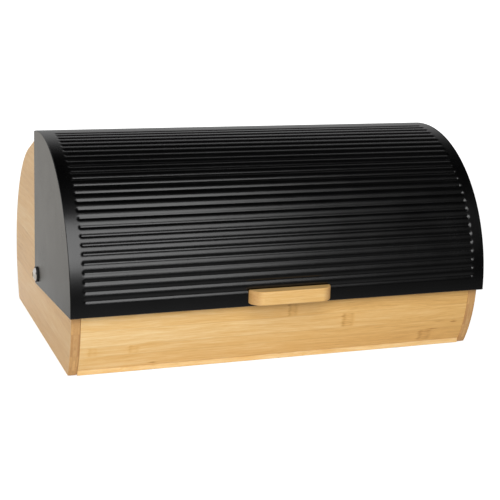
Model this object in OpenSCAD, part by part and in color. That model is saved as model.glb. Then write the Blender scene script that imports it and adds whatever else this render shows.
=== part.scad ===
/* [Lid] */
// Width of the lid over both cheeks
lid_w = 390; // [340:1:440]
// Outer radius of the lid's cover
lid_r = 132.5; // [132:0.1:134]
// Thickness of the lid's sheet steel
sheet_t = 0.8; // [0.6:0.1:1]
// Height of the middle of the lid's arc above the table
arc_z = 63.4; // [62:0.1:65]
// Distance of the middle of the lid's arc behind the middle of the box
arc_y = -3.5; // [-5:0.1:-2]
// Height of the lid's front lower edge
lip_z = 58.7; // [58.7:0.1:61]
// Height of the cheek's rear lower corner
heel_z = 46.8; // [45:0.1:49]
// Distance of the cheek's rear lower corner behind the middle of the box
heel_y = 28.3; // [27:0.1:29]
// Lean of the lid's rear edge from upright, in degrees
rear_lean = 1.6; // [0:0.1:2]
// Depth of the flange turned in along the lid's front edge
flange_d = 14; // [12:0.5:15]
// Depth of the hem turned in along the lid's rear edge
hem_d = 2.2; // [1.2:0.1:2.2]
// Width of the rim turned in around each cheek
rim_w = 7; // [5:0.5:8]
// Radius of the cheek's rear lower corner
heel_r = 3; // [1:0.5:5]

/* [Grooves] */
// Number of pressed grooves
groove_n = 25; // [5:1:25]
// Angle between two grooves, in degrees
groove_step = 3.39; // [3.2:0.01:3.6]
// Angle of the lowest groove above the level of the arc's middle
groove_low = 4.35; // [4:0.05:5]
// Width of a groove between the upper edges of its flanks
groove_w = 5.2; // [5:0.1:5.6]
// Depth of a groove
groove_depth = 0.75; // [0.65:0.05:0.85]
// Radius of a groove's rounded bottom
groove_bottom_r = 2.4; // [2:0.1:2.6]
// Plain border between a groove's end and the lid's side
groove_border = 11; // [10.5:0.5:20]

/* [Wooden body] */
// Thickness of a side panel
panel_t = 8; // [7:0.5:9]
// Step from the lid's outer radius down to the radius of the side panel's rounds
panel_gap = 7.1; // [7.1:0.1:8]
// Distance of the rear round's middle behind the middle of the box
rear_y = 21.6; // [20:0.1:21.6]
// Height of the rear round's middle
rear_z = 53.5; // [52:0.1:55]
// Height of the wood's underside above the table
wood_z = 0.8; // [0.5:0.1:1.2]
// Radius of the side panel's lower corners
panel_corner_r = 3; // [1:0.5:6]
// Thickness of the floor board
floor_t = 5; // [4:0.5:6]
// Least thickness of the front board
board_t = 8; // [6:0.5:9]
// Height of the front board's top edge
board_top = 57.2; // [56:0.1:57.2]
// How far the front board's face lies inside the side panel's outline
board_inset = 0.6; // [0.2:0.1:2]
// Depth of the rebate and the slot in the side panels
rebate_d = 4; // [3:0.5:4.5]
// Depth of the back sheet's slot below the side panel's outline
slot_inset = 4; // [3:0.5:5]
// Thickness of the back sheet
back_t = 0.8; // [0.6:0.1:1]

/* [Handle] */
// Width of the handle
handle_w = 77; // [70:1:100]
// Height of the handle
handle_h = 12.5; // [10:0.5:16]
// How far the handle stands out from the lid
handle_out = 11; // [10:0.5:12]
// Height of the handle's underside above the lid's front edge
handle_lift = 3; // [2:0.5:3.5]

/* [Pivots] */
// Distance of the pivot behind the middle of the box
pivot_y = 16; // [15.5:0.1:16.5]
// Height of the pivot
pivot_z = 58.3; // [58:0.1:59]
// Diameter of the pivot screw's shank
shank_d = 6; // [5:0.5:6]
// Diameter of the pivot screw's head
head_d = 12.6; // [11:0.1:14]
// Height of the pivot screw's head
head_h = 2.6; // [2:0.1:4]
// Thickness of the washer between cheek and side panel
inner_washer_t = 1.4; // [1:0.1:2]
// Thickness of the washer under the pivot screw's head
outer_washer_t = 1.7; // [0.8:0.1:2.2]

/* [Clearances] */
// Play of the lid along its axis, on each face of a cheek
end_play = 0.05; // [0.03:0.01:0.1]
// Radial clearance of the pivot
pivot_fit = 0.08; // [0.05:0.01:0.1]
// Clearance of the back sheet in its slot, on each face
slot_fit = 0.1; // [0.05:0.05:0.2]
// Gap between the closed lid's flange and its bumpers
bumper_gap = 0.3; // [0.1:0.1:0.4]

/* [Hidden] */
$fn = 96;

// overlap that keeps a cut from ending flush with a face
cut = 1;
// how far a rounded corner's circle stands past its edges, so that it crosses them
nudge = 0.02;
// larger than the whole box, for half spaces
far = 600;
// steps that point a side's pieces left or right
sides = [-1, 1];

// planes along X, counted outwards from the middle of the box
cheek_out = lid_w / 2;
cheek_in = cheek_out - sheet_t;
panel_out = cheek_in - end_play - inner_washer_t;
panel_in = panel_out - panel_t;

// side panel: two equal rounds joined by a flat, cut level at the base
panel_r = lid_r - panel_gap;
round_gap = norm([rear_y - arc_y, rear_z - arc_z]);
round_dip = atan2(rear_z - arc_z, rear_y - arc_y);

// floor board and front board
floor_setback = 0.8;
ear_setback = 12;
floor_top = wood_z + floor_t;
board_r = panel_r - board_inset;
board_foot = arc_front(board_r, floor_top);
board_head = arc_front(board_r, board_top);
board_lean = atan2(board_foot - board_head, board_top - floor_top);
board_skew = board_t / cos(board_lean);
floor_front = board_foot + floor_setback;
floor_ear = floor_front + ear_setback;

// back sheet, top rail and batten
sheet_lap = 12;
floor_gap = 0.3;
sheet_in_r = panel_r - slot_inset - back_t;
floor_rear = round_rear(sheet_in_r, wood_z) - floor_gap;
back_front = arc_y - sheet_lap;
rail_setback = 2;
rail_d = 22;
rail_y = back_front + rail_setback;
rail_h = 10;
rail_foot = arc_z + sheet_in_r - rail_h;
batten_h = 14;
batten_t = 20;
batten_rear = round_rear(sheet_in_r, floor_top + batten_h);

// dowels
dowel_d = 5;
dowel_l = 22;
dowel_in_panel = 5;
board_dowel_edge = 12;
rail_dowel_edge = 5.5;
rail_dowel_lift = 4.5;
front_dowel_z = [floor_top + board_dowel_edge, board_top - board_dowel_edge];
rail_dowel_y = [rail_y + rail_dowel_edge, rail_y + rail_d - rail_dowel_edge];
rail_dowel_z = rail_foot + rail_dowel_lift;

// countersunk wood screws through the floor
screw_d = 3.5;
screw_head_d = 7;
screw_head_h = 2.2;
screw_l = 17;
screw_edge = 6;
screw_inset = 64.75;
screw_x = [for (step = [-1 : 1]) step * (panel_in - screw_inset)];
screw_y = [board_foot + board_skew / 2, floor_rear - screw_edge];

// small screws that hold the back sheet
tin_screw_d = 3;
tin_head_d = 6;
tin_head_h = 1.6;
tin_screw_l = 9;
tin_screw_n = 4;
tin_inset = 34.75;
tin_pitch = 2 * (panel_in - tin_inset) / (tin_screw_n - 1);
tin_screw_x = [for (n = [0 : tin_screw_n - 1]) tin_inset - panel_in + n * tin_pitch];
tin_low_z = floor_top + batten_h / 2;
tin_low_tilt = asin((rear_z - tin_low_z) / (sheet_in_r + back_t));

// foot pads
pad_d = 12;
pad_t = 1.8;
pad_inset = 18;
pad_setback = 26;
pad_x = panel_in - pad_inset;
pad_y = [floor_front + pad_setback, floor_rear - pad_setback];

// lid bumpers
bumper_d = 6;
bumper_t = lip_z - board_top - bumper_gap;
bumper_inset = 44.75;
bumper_x = panel_in - bumper_inset;
bumper_y = board_head + board_skew / 2;

// pivots
inner_washer_d = 16;
outer_washer_d = 14.4;
bore_d = shank_d + 2 * pivot_fit;
nut_washer_d = 14;
nut_washer_t = 1.2;
nut_across = 10;
nut_h = 4;
nut_dome_d = 9.4;
nut_dome_h = 4;
shank_past_nut = 1;
nut_seat = panel_in - nut_washer_t;
shank_end = nut_seat - nut_h - shank_past_nut;
head_seat = cheek_out + end_play + outer_washer_t;
socket_across = 4;
socket_depth = 1.6;

// lid
flange_gap = 1.5;
cover_in = lid_r - sheet_t;
lip_y = arc_front(lid_r, lip_z);
lid_slope = atan2(lip_z - heel_z, heel_y - lip_y);
flange_end = panel_in - flange_gap;
rim_in = cheek_in - rim_w;

// grooves: a round bottom, which turns this far up its walls, then a straight flank each side
groove_half = cheek_out - groove_border - groove_w / 2;
groove_wall = 23.5;
flank_foot = groove_bottom_r * sin(groove_wall);
flank_rise = groove_depth - groove_bottom_r * (1 - cos(groove_wall));
flank_slope = atan2(flank_rise, groove_w / 2 - flank_foot);
die_top = 0.2;
bump_top = -0.6;

// handle
handle_z = lip_z + handle_lift;
handle_back = arc_y - lid_r;
handle_front = handle_back - handle_out;
handle_round = 12;
handle_screw_inset = 14.5;
handle_screw_x = handle_w / 2 - handle_screw_inset;
handle_screw_lift = 3;
handle_screw_z = handle_z + handle_screw_lift;
handle_screw_d = 3;
handle_head_d = 5.6;
handle_head_h = 2;
handle_screw_in = 8;
handle_washer_d = 7;
handle_washer_t = 0.5;
// a flat washer touches the round inside of the cover at its upper edge
washer_gap = 0.02;
washer_y = arc_front(cover_in, handle_screw_z + handle_washer_d / 2) + washer_gap;

// ---------- places on the rounds ----------

// front of a circle around the lid arc's middle, at height z
function arc_front(r, z) = arc_y - sqrt(pow(r, 2) - pow(arc_z - z, 2));

// back of a circle around the rear round's middle, at height z
function round_rear(r, z) = rear_y + sqrt(pow(r, 2) - pow(rear_z - z, 2));

// middle of the front board at height z
function board_mid(z) = board_foot + board_skew / 2 - (z - floor_top) * tan(board_lean);

// ---------- shared shapes ----------

// turns a profile drawn as (y, z) into a slab from x0 to x1
module slab(x0, x1) {
    translate([x0, 0, 0])
        rotate([90, 0, 90])
            linear_extrude(height = x1 - x0)
                children();
}

// solid rod along X, from x0 to x1
module rod_x(x0, x1, d, y, z) {
    translate([x0, y, z])
        rotate([0, 90, 0])
            cylinder(d = d, h = x1 - x0);
}

// children for the right side, or mirrored to the left
module on_side(side) {
    mirror([side < 0 ? 1 : 0, 0, 0])
        children();
}

// flat ring along X on the pivot's axis, from x0 to x1
module pivot_ring(x0, x1, d, bore) {
    difference() {
        rod_x(x0, x1, d, pivot_y, pivot_z);
        rod_x(x0 - cut, x1 + cut, bore, pivot_y, pivot_z);
    }
}

// children drawn along Z, turned to point outwards on the pivot's axis from x
module at_pivot(x) {
    translate([x, pivot_y, pivot_z])
        rotate([0, 90, 0])
            children();
}

// cap of a ball along Z, with its flat face at the origin
module dome(d, h) {
    r = (pow(d / 2, 2) + pow(h, 2)) / (2 * h);
    rotate_extrude()
        intersection() {
            translate([0, h - r])
                circle(r = r);
            square([d, h + cut]);
        }
}

// outline of the side panels, drawn in by inset, without the level cut
module panel_outline(inset = 0) {
    r = panel_r - inset;
    translate([arc_y, arc_z])
        circle(r = r);
    translate([rear_y, rear_z])
        circle(r = r);
    translate([arc_y, arc_z])
        rotate(round_dip)
            translate([0, -r])
                square([round_gap, 2 * r]);
}

// what is cut off a side panel to round a lower corner: front at side -1, rear at side 1
module panel_corner(y, z, side) {
    inner = panel_r - panel_corner_r + nudge;
    drop = z - wood_z - panel_corner_r + nudge;
    run = sqrt(pow(inner, 2) - pow(drop, 2));
    middle = [y + side * run, z - drop];
    edge = [y, z] + [side * run, -drop] * (panel_r + cut) / inner;
    difference() {
        polygon([
            middle,
            [middle[0], wood_z - cut],
            [edge[0] + side * cut, wood_z - cut],
            edge
        ]);
        translate(middle)
            circle(r = panel_corner_r);
    }
}

// everything above the wood's underside
module above_base() {
    translate([-far / 2, wood_z])
        square([far, far]);
}

// the back sheet's run along the panel's outline, from under the lid down to the floor
module back_run(fit = 0) {
    intersection() {
        difference() {
            panel_outline(slot_inset - fit);
            panel_outline(slot_inset + back_t + fit);
        }
        union() {
            translate([back_front - fit, arc_z])
                square([far, far]);
            translate([rear_y, floor_top - fit])
                square([far, far]);
        }
    }
}

// seen from the side, the wedge that the lid covers
module lid_wedge() {
    polygon([
        [heel_y, heel_z],
        [heel_y - far, heel_z + far * tan(lid_slope)],
        [heel_y - far, heel_z + far],
        [heel_y - far * tan(rear_lean), heel_z + far]
    ]);
}

// what is cut off a cheek to round its rear lower corner
module heel_corner() {
    half = (90 - rear_lean - lid_slope) / 2;
    aim = [cos(90 + rear_lean + half), sin(90 + rear_lean + half)];
    heel = [heel_y, heel_z];
    middle = heel + aim * (heel_r / sin(half) - 2 * nudge);
    difference() {
        polygon([
            middle,
            middle + [cos(rear_lean), sin(rear_lean)] * (heel_r + cut),
            heel - aim * 2 * cut,
            middle - [sin(lid_slope), cos(lid_slope)] * (heel_r + cut)
        ]);
        translate(middle)
            circle(r = heel_r);
    }
}

// ---------- wooden body ----------

module side_panel(side) {
    color("burlywood")
        on_side(side)
            difference() {
                slab(panel_in, panel_out)
                    difference() {
                        intersection() {
                            panel_outline();
                            above_base();
                        }
                        panel_corner(arc_y, arc_z, -1);
                        panel_corner(rear_y, rear_z, 1);
                    }
                slab(panel_in - cut, panel_in + rebate_d)
                    back_run(slot_fit);
                translate([panel_in - cut, floor_ear, wood_z - cut])
                    cube([rebate_d + cut, floor_rear - floor_ear, floor_t + cut]);
                rod_x(panel_in - cut, panel_out + cut, bore_d, pivot_y, pivot_z);
                for (z = front_dowel_z)
                    rod_x(panel_in - cut, panel_in + dowel_in_panel, dowel_d, board_mid(z), z);
                for (y = rail_dowel_y)
                    rod_x(panel_in - cut, panel_in + dowel_in_panel, dowel_d, y, rail_dowel_z);
            }
}

// outer face milled round, inner face flat and leaning out
module front_board() {
    color("burlywood")
        difference() {
            slab(-panel_in, panel_in)
                intersection() {
                    translate([arc_y, arc_z])
                        circle(r = board_r);
                    polygon([
                        [arc_y - far, floor_top],
                        [board_foot + board_skew, floor_top],
                        [board_head + board_skew, board_top],
                        [arc_y - far, board_top]
                    ]);
                }
            for (side = sides)
                for (z = front_dowel_z)
                    on_side(side)
                        rod_x(panel_in + dowel_in_panel - dowel_l, panel_in + cut, dowel_d, board_mid(z), z);
            for (x = screw_x)
                floor_screw_bore(x, screw_y[0]);
        }
}

module floor_board() {
    color("burlywood")
        difference() {
            union() {
                translate([-panel_in, floor_front, wood_z])
                    cube([2 * panel_in, floor_rear - floor_front, floor_t]);
                translate([-panel_in - rebate_d, floor_ear, wood_z])
                    cube([2 * (panel_in + rebate_d), floor_rear - floor_ear, floor_t]);
            }
            for (x = screw_x)
                for (y = screw_y)
                    floor_screw(x, y);
            for (x = [-pad_x, pad_x])
                for (y = pad_y)
                    pad(x, y);
        }
}

module top_rail() {
    color("burlywood")
        difference() {
            slab(-panel_in, panel_in)
                intersection() {
                    panel_outline(slot_inset + back_t);
                    translate([rail_y, rail_foot])
                        square([rail_d, 2 * rail_h]);
                }
            for (side = sides)
                for (y = rail_dowel_y)
                    on_side(side)
                        rod_x(panel_in + dowel_in_panel - dowel_l, panel_in + cut, dowel_d, y, rail_dowel_z);
            for (x = tin_screw_x)
                top_tin_screw(x);
        }
}

module rear_batten() {
    color("burlywood")
        difference() {
            slab(-panel_in, panel_in)
                intersection() {
                    panel_outline(slot_inset + back_t);
                    translate([batten_rear - batten_t, floor_top])
                        square([2 * batten_t, batten_h]);
                }
            for (x = screw_x)
                floor_screw_bore(x, screw_y[1]);
            for (x = tin_screw_x)
                low_tin_screw(x);
        }
}

module front_dowels() {
    color("tan")
        for (side = sides)
            for (z = front_dowel_z)
                on_side(side)
                    rod_x(panel_in + dowel_in_panel - dowel_l, panel_in + dowel_in_panel, dowel_d, board_mid(z), z);
}

module rail_dowels() {
    color("tan")
        for (side = sides)
            for (y = rail_dowel_y)
                on_side(side)
                    rod_x(panel_in + dowel_in_panel - dowel_l, panel_in + dowel_in_panel, dowel_d, y, rail_dowel_z);
}

// ---------- back sheet and wood screws ----------

module back_sheet() {
    color("#1c1c1e")
        difference() {
            slab(-panel_in - rebate_d + slot_fit, panel_in + rebate_d - slot_fit)
                back_run();
            for (x = tin_screw_x) {
                top_tin_screw(x);
                low_tin_screw(x);
            }
        }
}

// countersunk screw from the underside, through the floor
module floor_screw(x, y) {
    translate([x, y, wood_z]) {
        cylinder(d = screw_d, h = screw_l);
        cylinder(d1 = screw_head_d, d2 = screw_d, h = screw_head_h);
    }
}

// the hole that a floor screw's shank makes in the piece above the floor
module floor_screw_bore(x, y) {
    translate([x, y, floor_top - cut])
        cylinder(d = screw_d, h = wood_z + screw_l - floor_top + cut);
}

module floor_screws() {
    color("silver")
        for (x = screw_x)
            for (y = screw_y)
                floor_screw(x, y);
}

// pan head screw along Z, with its head's underside at the origin
module tin_screw() {
    translate([0, 0, -tin_screw_l])
        cylinder(d = tin_screw_d, h = tin_screw_l);
    cylinder(d = tin_head_d, h = tin_head_h);
}

// a screw down through the sheet into the top rail
module top_tin_screw(x) {
    translate([x, arc_y, arc_z + sheet_in_r + back_t])
        tin_screw();
}

// a screw square to the sheet, into the batten
module low_tin_screw(x) {
    translate([x, rear_y, rear_z])
        rotate([-90 - tin_low_tilt, 0, 0])
            translate([0, 0, sheet_in_r + back_t])
                tin_screw();
}

module back_sheet_screws() {
    color("silver")
        for (x = tin_screw_x) {
            top_tin_screw(x);
            low_tin_screw(x);
        }
}

// ---------- pads and bumpers ----------

module pad(x, y) {
    translate([x, y, 0])
        cylinder(d = pad_d, h = pad_t);
}

module foot_pad(side, y) {
    color("gray")
        pad(side * pad_x, y);
}

module bumper(side) {
    color("whitesmoke")
        translate([side * bumper_x, bumper_y, board_top])
            cylinder(d = bumper_d, h = bumper_t);
}

// ---------- pivots ----------

module pivot_screw(side) {
    color("silver")
        on_side(side)
            difference() {
                union() {
                    rod_x(shank_end, head_seat, shank_d, pivot_y, pivot_z);
                    at_pivot(head_seat)
                        dome(head_d, head_h);
                }
                at_pivot(head_seat + head_h - socket_depth)
                    cylinder(r = socket_across / sqrt(3), h = socket_depth + cut, $fn = 6);
            }
}

module outer_washer(side) {
    color("black")
        on_side(side)
            pivot_ring(cheek_out + end_play, head_seat, outer_washer_d, shank_d);
}

module inner_washer(side) {
    color("whitesmoke")
        on_side(side)
            pivot_ring(panel_out, panel_out + inner_washer_t, inner_washer_d, shank_d);
}

module nut_washer(side) {
    color("silver")
        on_side(side)
            pivot_ring(nut_seat, panel_in, nut_washer_d, shank_d);
}

module cap_nut(side) {
    color("silver")
        on_side(side)
            difference() {
                union() {
                    at_pivot(nut_seat - nut_h)
                        cylinder(r = nut_across / sqrt(3), h = nut_h, $fn = 6);
                    mirror([1, 0, 0])
                        at_pivot(nut_h - nut_seat)
                            dome(nut_dome_d, nut_dome_h);
                }
                rod_x(shank_end, nut_seat + cut, shank_d, pivot_y, pivot_z);
            }
}

// ---------- lid ----------

// turns its children to the place of groove number n
module at_groove(n) {
    translate([0, arc_y, arc_z])
        rotate([-groove_low - n * groove_step, 0, 0])
            translate([0, -lid_r, 0])
                children();
}

// section of the die that presses a groove, swollen by a sheet; the land is at level 0
module die_section(swell, top) {
    edge = groove_w / 2 + swell / sin(flank_slope);
    foot = (groove_bottom_r + swell) * sin(flank_slope);
    brim = edge + top / tan(flank_slope);
    foot_level = (foot - edge) * tan(flank_slope);
    intersection() {
        union() {
            polygon([[-brim, top], [-foot, foot_level], [foot, foot_level], [brim, top]]);
            translate([0, groove_bottom_r - groove_depth])
                circle(r = groove_bottom_r + swell);
        }
        translate([-far / 2, top - far])
            square([far, far]);
    }
}

// the die: straight along X, each end rounded by half a turn of its section
module groove_die(swell, top) {
    slab(-groove_half, groove_half)
        rotate(90)
            die_section(swell, top);
    for (end = sides)
        translate([end * groove_half, 0, 0])
            rotate([90, 0, 0])
                rotate(-90 * end)
                    rotate_extrude(angle = 180)
                        intersection() {
                            die_section(swell, top);
                            translate([0, -far / 2])
                                square([far, far]);
                        }
}

// the sheet's cover: rolled band with pressed grooves, front flange and rear hem
module lid_cover() {
    color("#1c1c1e")
        difference() {
            union() {
                slab(-cheek_out, cheek_out)
                    lid_band(lid_r, cover_in);
                for (n = [0 : groove_n - 1])
                    at_groove(n)
                        groove_die(sheet_t, bump_top);
                slab(-flange_end, flange_end)
                    translate([lip_y + sheet_t / 2, lip_z])
                        square([flange_d - sheet_t / 2, sheet_t]);
                slab(-rim_in, rim_in)
                    rear_hem();
            }
            for (n = [0 : groove_n - 1])
                at_groove(n)
                    groove_die(0, die_top);
            for (x = [-handle_screw_x, handle_screw_x])
                handle_bore(x);
        }
}

// ring between two radii, cut to the wedge that the lid covers
module lid_band(r_out, r_in) {
    intersection() {
        translate([arc_y, arc_z])
            difference() {
                circle(r = r_out);
                circle(r = r_in);
            }
        lid_wedge();
    }
}

// strip along the lid's rear edge, turned in from the cover
module rear_hem() {
    difference() {
        lid_band(lid_r - sheet_t / 2, cover_in - hem_d);
        translate([-sheet_t, 0])
            lid_wedge();
        translate([arc_y - far, heel_z - far / 2])
            square([far, far / 2 + arc_z - heel_z]);
    }
}

module cheek(side) {
    color("#1c1c1e")
        on_side(side)
            difference() {
                union() {
                    slab(cheek_in, cheek_out)
                        difference() {
                            lid_band(cover_in, 0);
                            heel_corner();
                        }
                    slab(rim_in, cheek_in)
                        lid_band(cover_in, cover_in - sheet_t);
                }
                rod_x(cheek_in - cut, cheek_out + cut, bore_d, pivot_y, pivot_z);
            }
}

// ---------- handle ----------

module handle_bore(x) {
    translate([x, handle_back - handle_screw_in + sheet_t, handle_screw_z])
        rotate([-90, 0, 0])
            cylinder(d = handle_screw_d, h = 2 * handle_screw_in);
}

module handle() {
    color("burlywood")
        difference() {
            translate([0, handle_front, handle_z])
                linear_extrude(height = handle_h)
                    handle_plan();
            rod_x(-handle_w, handle_w, 2 * lid_r, arc_y, arc_z);
            for (x = [-handle_screw_x, handle_screw_x])
                handle_bore(x);
        }
}

// block with its two front corners rounded
module handle_plan() {
    translate([-handle_w / 2, handle_round])
        square([handle_w, handle_round]);
    translate([-handle_w / 2 + handle_round, 0])
        square([handle_w - 2 * handle_round, 2 * handle_round]);
    for (side = sides)
        translate([side * (handle_w / 2 - handle_round), handle_round])
            circle(r = handle_round);
}

module handle_screws() {
    color("silver")
        for (x = [-handle_screw_x, handle_screw_x])
            translate([x, washer_y + handle_washer_t, handle_screw_z])
                rotate([-90, 0, 0]) {
                    cylinder(d = handle_head_d, h = handle_head_h);
                    translate([0, 0, -handle_screw_in])
                        cylinder(d = handle_screw_d, h = handle_screw_in + cut);
                }
}

module handle_washers() {
    color("silver")
        for (x = [-handle_screw_x, handle_screw_x])
            translate([x, washer_y, handle_screw_z])
                rotate([-90, 0, 0])
                    difference() {
                        cylinder(d = handle_washer_d, h = handle_washer_t);
                        translate([0, 0, -cut])
                            cylinder(d = handle_screw_d, h = handle_washer_t + 2 * cut);
                    }
}

// ---------- pieces ----------

side_panel(-1);  // left_side_panel
side_panel(1);  // right_side_panel
front_board();
floor_board();
back_sheet();
top_rail();
rear_batten();
front_dowels();
rail_dowels();
floor_screws();
back_sheet_screws();
foot_pad(-1, pad_y[0]);  // front_left_pad
foot_pad(1, pad_y[0]);  // front_right_pad
foot_pad(-1, pad_y[1]);  // rear_left_pad
foot_pad(1, pad_y[1]);  // rear_right_pad
bumper(-1);  // left_bumper
bumper(1);  // right_bumper
pivot_screw(-1);  // left_pivot_screw
pivot_screw(1);  // right_pivot_screw
outer_washer(-1);  // left_outer_washer
outer_washer(1);  // right_outer_washer
inner_washer(-1);  // left_inner_washer
inner_washer(1);  // right_inner_washer
nut_washer(-1);  // left_nut_washer
nut_washer(1);  // right_nut_washer
cap_nut(-1);  // left_cap_nut
cap_nut(1);  // right_cap_nut
lid_cover();
cheek(-1);  // left_cheek
cheek(1);  // right_cheek
handle();
handle_screws();
handle_washers();
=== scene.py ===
import math

import bmesh
import bpy
from bpy.props import (
    FloatProperty,
    FloatVectorProperty,
    IntProperty,
    PointerProperty,
)
from mathutils import Matrix, Vector


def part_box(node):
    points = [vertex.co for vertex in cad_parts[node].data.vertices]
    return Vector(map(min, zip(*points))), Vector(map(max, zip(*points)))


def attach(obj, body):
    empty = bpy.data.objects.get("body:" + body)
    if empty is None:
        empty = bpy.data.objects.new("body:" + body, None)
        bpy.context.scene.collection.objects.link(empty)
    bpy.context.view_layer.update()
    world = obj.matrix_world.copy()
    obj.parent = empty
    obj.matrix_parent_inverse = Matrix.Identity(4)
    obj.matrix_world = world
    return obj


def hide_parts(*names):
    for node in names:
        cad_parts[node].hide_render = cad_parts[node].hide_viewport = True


bl_info = {
    "name": "Bread Box",
    "version": (1, 0, 0),
    "blender": (4, 5, 0),
    "location": "3D View > Sidebar > Bread Box",
    "description": "Dresses a bread box with a wooden body and a pressed steel lid",
    "category": "Add Mesh",
}

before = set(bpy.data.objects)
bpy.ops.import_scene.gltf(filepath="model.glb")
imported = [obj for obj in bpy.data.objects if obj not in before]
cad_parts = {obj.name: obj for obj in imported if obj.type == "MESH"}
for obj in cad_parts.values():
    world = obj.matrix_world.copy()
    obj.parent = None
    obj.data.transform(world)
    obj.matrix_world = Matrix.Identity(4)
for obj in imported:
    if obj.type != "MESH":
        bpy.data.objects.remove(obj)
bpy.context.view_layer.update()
MM = 0.001
SIDES = (-1, 1)
HAIR = 0.01 * MM  # slack for points that lie on a plane or a round
CORNER_SLACK = 0.05 * MM  # slack for the points of one corner
FLANGE_CLEAR = 1.5 * MM  # the flange ends this far short of the side panels
END_ROWS = (3.5 * MM, 0.6 * MM)  # rows of points beside the cover's ends
HANDLE_SEAT = 0.9  # share of the sheet that the handle's flat back sinks into
PAD_EDGE = 0.25 * MM
BUMPER_EDGE = 0.5 * MM
SEAM = 0.0005  # half the width of a glue line, in metres
BLOCK_WIDTH = 0.0106  # width of a strip seen from its end, in metres
SENSOR = 36
FOCAL_SHARE = 1227.916 / 500  # focal length as a share of the sensor's width
EYE = (-0.3945654, -1.0997826, 0.362289)
YAW, PITCH, ROLL = 0.354, 0.241, 0.0311


def low(node):
    """The lowest corner of a solid."""
    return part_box(node)[0]


def high(node):
    """The highest corner of a solid."""
    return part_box(node)[1]


# ---------- sizes and colours ----------


def length(name, description, default):
    return FloatProperty(
        name=name, description=description, default=default, unit="LENGTH", precision=5
    )


def angle(name, description, degrees):
    return FloatProperty(
        name=name,
        description=description,
        default=math.radians(degrees),
        subtype="ANGLE",
    )


def colour(name, description, default):
    return FloatVectorProperty(
        name=name,
        description=description,
        default=default,
        subtype="COLOR",
        min=0,
        max=1,
    )


class BreadBoxSizes(bpy.types.PropertyGroup):
    lid_radius: length("Lid radius", "Outer radius of the lid's cover", 0.1325)
    sheet: length("Sheet", "Thickness of the lid's sheet steel", 0.0008)
    lip_bend: length("Lip bend", "Outer radius of the bend along the lid's lip", 0.0014)
    rear_bend: length("Rear bend", "Outer radius of the bend at the rear edge", 0.002)
    flange: length("Flange", "Depth of the flange under the lip", 0.014)
    hem: length("Hem", "Depth of the hem at the rear edge", 0.003)
    rim: length("Rim", "Width of the rim around a cheek", 0.0078)
    heel_y: length("Heel, back", "Cheek's rear lower corner, behind the middle", 0.0283)
    heel_z: length("Heel, up", "Height of the cheek's rear lower corner", 0.0468)
    heel_round: length("Heel round", "Radius of the cheek's rear lower corner", 0.003)
    rear_lean: angle("Rear lean", "Lean of the lid's rear edge from upright", 1.6)
    groove_count: IntProperty(name="Grooves", description="Number of pressed grooves", default=25)
    groove_step: angle("Groove step", "Angle between two grooves", 3.39)
    groove_first: angle("First groove", "Angle of the lowest groove above level", 4.35)
    groove_width: length("Groove width", "Width over a groove's soft shoulders", 0.0072)
    groove_depth: length("Groove depth", "Depth of a pressed groove", 0.00075)
    groove_bottom: length("Groove bottom", "Radius of a groove's rounded bottom", 0.0024)
    groove_border: length("Groove border", "Plain border beside a groove's end", 0.0098)
    groove_end: length("Groove end", "Run of a groove's rounded end", 0.0036)
    panel_gap: length("Panel gap", "Step from the lid's to the side panel's outline", 0.0071)
    rear_round_z: length("Rear round", "Height of the side panel's rear round", 0.0535)
    panel_corner: length("Panel corner", "Radius of a side panel's lower corners", 0.003)
    board: length("Board", "Least thickness of the front board", 0.008)
    board_inset: length("Board inset", "Front board's face inside the outline", 0.0006)
    back_sheet: length("Back sheet", "Slot depth and sheet under the outline", 0.0048)
    handle_round: length("Handle round", "Radius of the handle's front corners", 0.012)
    panel_edge: length("Panel edge", "Rounding along a side panel's arrises", 0.001)
    board_edge: length("Board edge", "Rounding along the boards' arrises", 0.0005)
    handle_edge: length("Handle edge", "Rounding along the handle's arrises", 0.0012)
    steel_edge: length("Steel edge", "Rounding along the sheet's arrises", 0.00012)
    end_round: length("End round", "Round of the cover's outer arris at its ends", 0.0006)


class BreadBoxColours(bpy.types.PropertyGroup):
    wood_light: colour("Light wood", "Lightest tone of the boards", (0.92, 0.69, 0.37))
    wood_middle: colour("Middle wood", "Main tone of the boards", (0.765, 0.455, 0.15))
    wood_dark: colour("Dark wood", "Darkest grain of the boards", (0.50, 0.255, 0.07))
    # pink veil painted over the side panels' wood as the glare of grazing light
    wood_glare: colour("Glare veil", "Pink veil painted on the side panels as glare", (0.64, 0.46, 0.4))
    wood_end: colour("End grain", "Tone of end grain and of knuckles", (0.46, 0.235, 0.085))
    black: colour("Black coat", "Powder coat of the lid and the back", (0.0004, 0.0004, 0.0005))
    chrome: colour("Chrome", "Pivot screws and cap nuts", (0.93, 0.9, 0.87))
    zinc: colour("Zinc", "Plated screws and washers", (0.60, 0.61, 0.63))
    black_nylon: colour("Black nylon", "Outer washers", (0.016, 0.016, 0.017))
    white_nylon: colour("White nylon", "Inner washers", (0.78, 0.78, 0.76))
    silicone: colour("Silicone", "Lid bumpers", (0.74, 0.75, 0.74))
    rubber: colour("Rubber", "Foot pads", (0.11, 0.11, 0.11))
    floor: colour("Floor", "Plain pale floor", (0.86, 0.86, 0.86))


# ---------- shader maths ----------


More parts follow.
